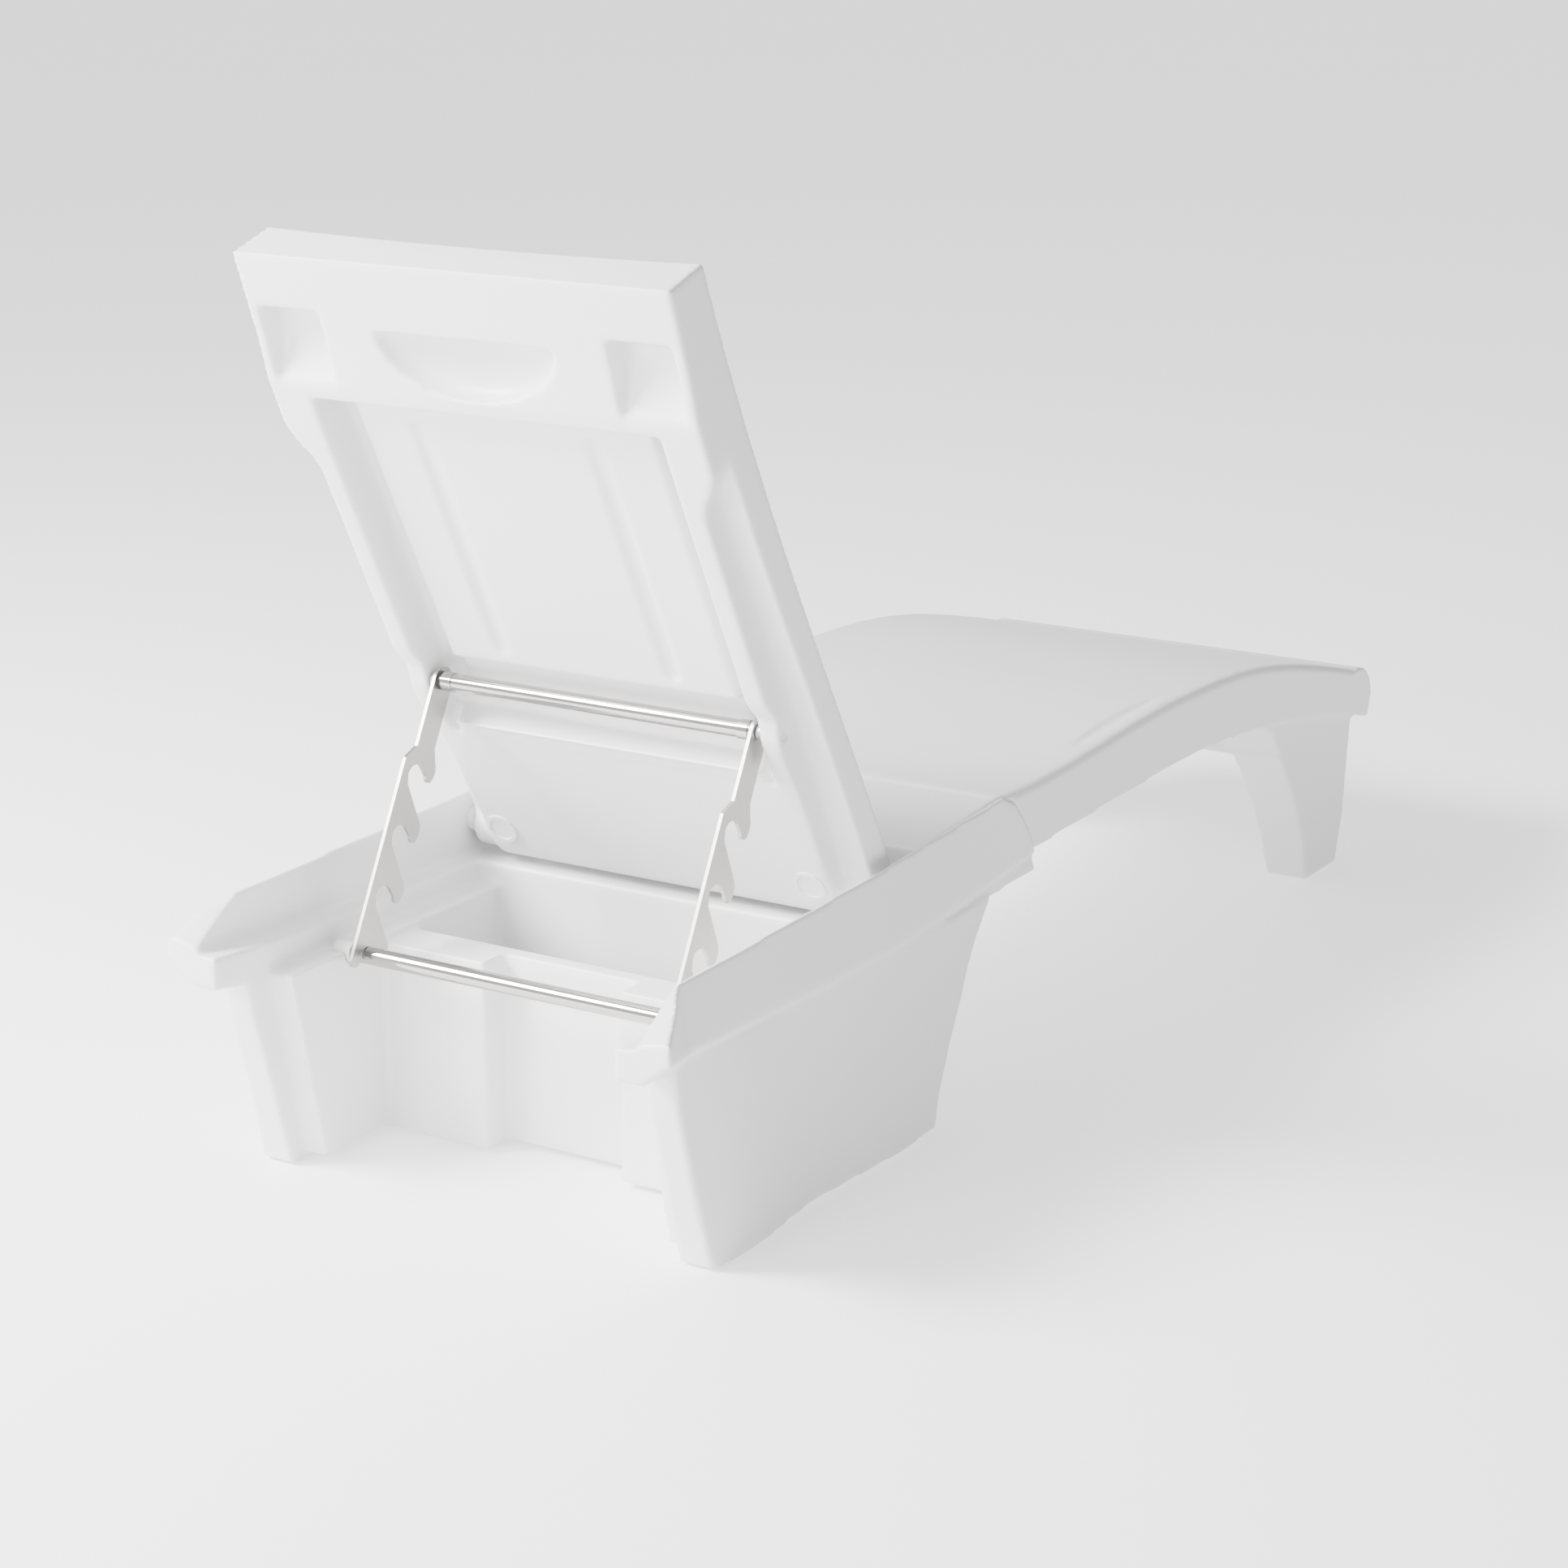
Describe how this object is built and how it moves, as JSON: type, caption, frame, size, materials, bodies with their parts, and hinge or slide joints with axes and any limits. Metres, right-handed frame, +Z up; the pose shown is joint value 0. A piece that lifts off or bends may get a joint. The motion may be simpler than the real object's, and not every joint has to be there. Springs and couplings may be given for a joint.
{
  "type": "sun lounger",
  "caption": "White moulded reclining sun lounger with a storage bin behind a raised backrest, held by a hooked steel prop.",
  "frame": {"origin": "on the ground at the middle of the lounger's length and width, backrest raised", "axes": "+Z up, +X towards the foot end, +Y to the sitter's left"},
  "size_m": [1.865, 0.652, 1.0387],
  "materials": {
    "white_polyethylene": "soft satin sheen with a faint moulded texture",
    "polished_steel": "polished stainless",
    "plain_steel": "satin stainless",
    "brass": "turned",
    "dark_ring": "smooth",
    "bearing_plastic": "smooth",
    "grey_rubber": "matte"
  },
  "bodies": {
    "base": {"base_tub": "white_polyethylene", "seat_section": "white_polyethylene", "catch_rod": "polished_steel", "rod_socket_left": "bearing_plastic", "rod_socket_right": "bearing_plastic", "hinge_bush_left": "bearing_plastic", "hinge_bush_right": "bearing_plastic", "seat_bolts": "plain_steel", "seat_washers": "plain_steel", "seat_inserts": "brass", "foot_glides": "grey_rubber"},
    "backrest": {"backrest_panel": "white_polyethylene", "hinge_pin_left": "plain_steel", "hinge_pin_right": "plain_steel", "hinge_cover_left": "white_polyethylene", "hinge_cover_right": "white_polyethylene", "prop_pin_left": "plain_steel", "prop_pin_right": "plain_steel"},
    "prop": {"prop_tube": "polished_steel", "prop_arm_left": "polished_steel", "prop_arm_right": "polished_steel", "prop_collar_left": "polished_steel", "prop_collar_right": "polished_steel", "prop_ring_left": "dark_ring", "prop_ring_right": "dark_ring", "prop_bush_left": "bearing_plastic", "prop_bush_right": "bearing_plastic"}
  },
  "joints": [
    {"name": "backrest_recline", "type": "hinge", "parent": "base", "child": "backrest", "pos_m": [-0.43, 0, 0.303], "axis": [0, -1, 0], "range_deg": [0, 62.5]},
    {"name": "prop_swing", "type": "hinge", "parent": "backrest", "child": "prop", "pos_m": [-0.5853, 0, 0.51449], "axis": [0, 1, 0], "range_deg": [0, 125]}
  ],
  "couplings": [
    {"joint": "prop_swing", "follows": "backrest_recline", "ratio": 2}
  ]
}
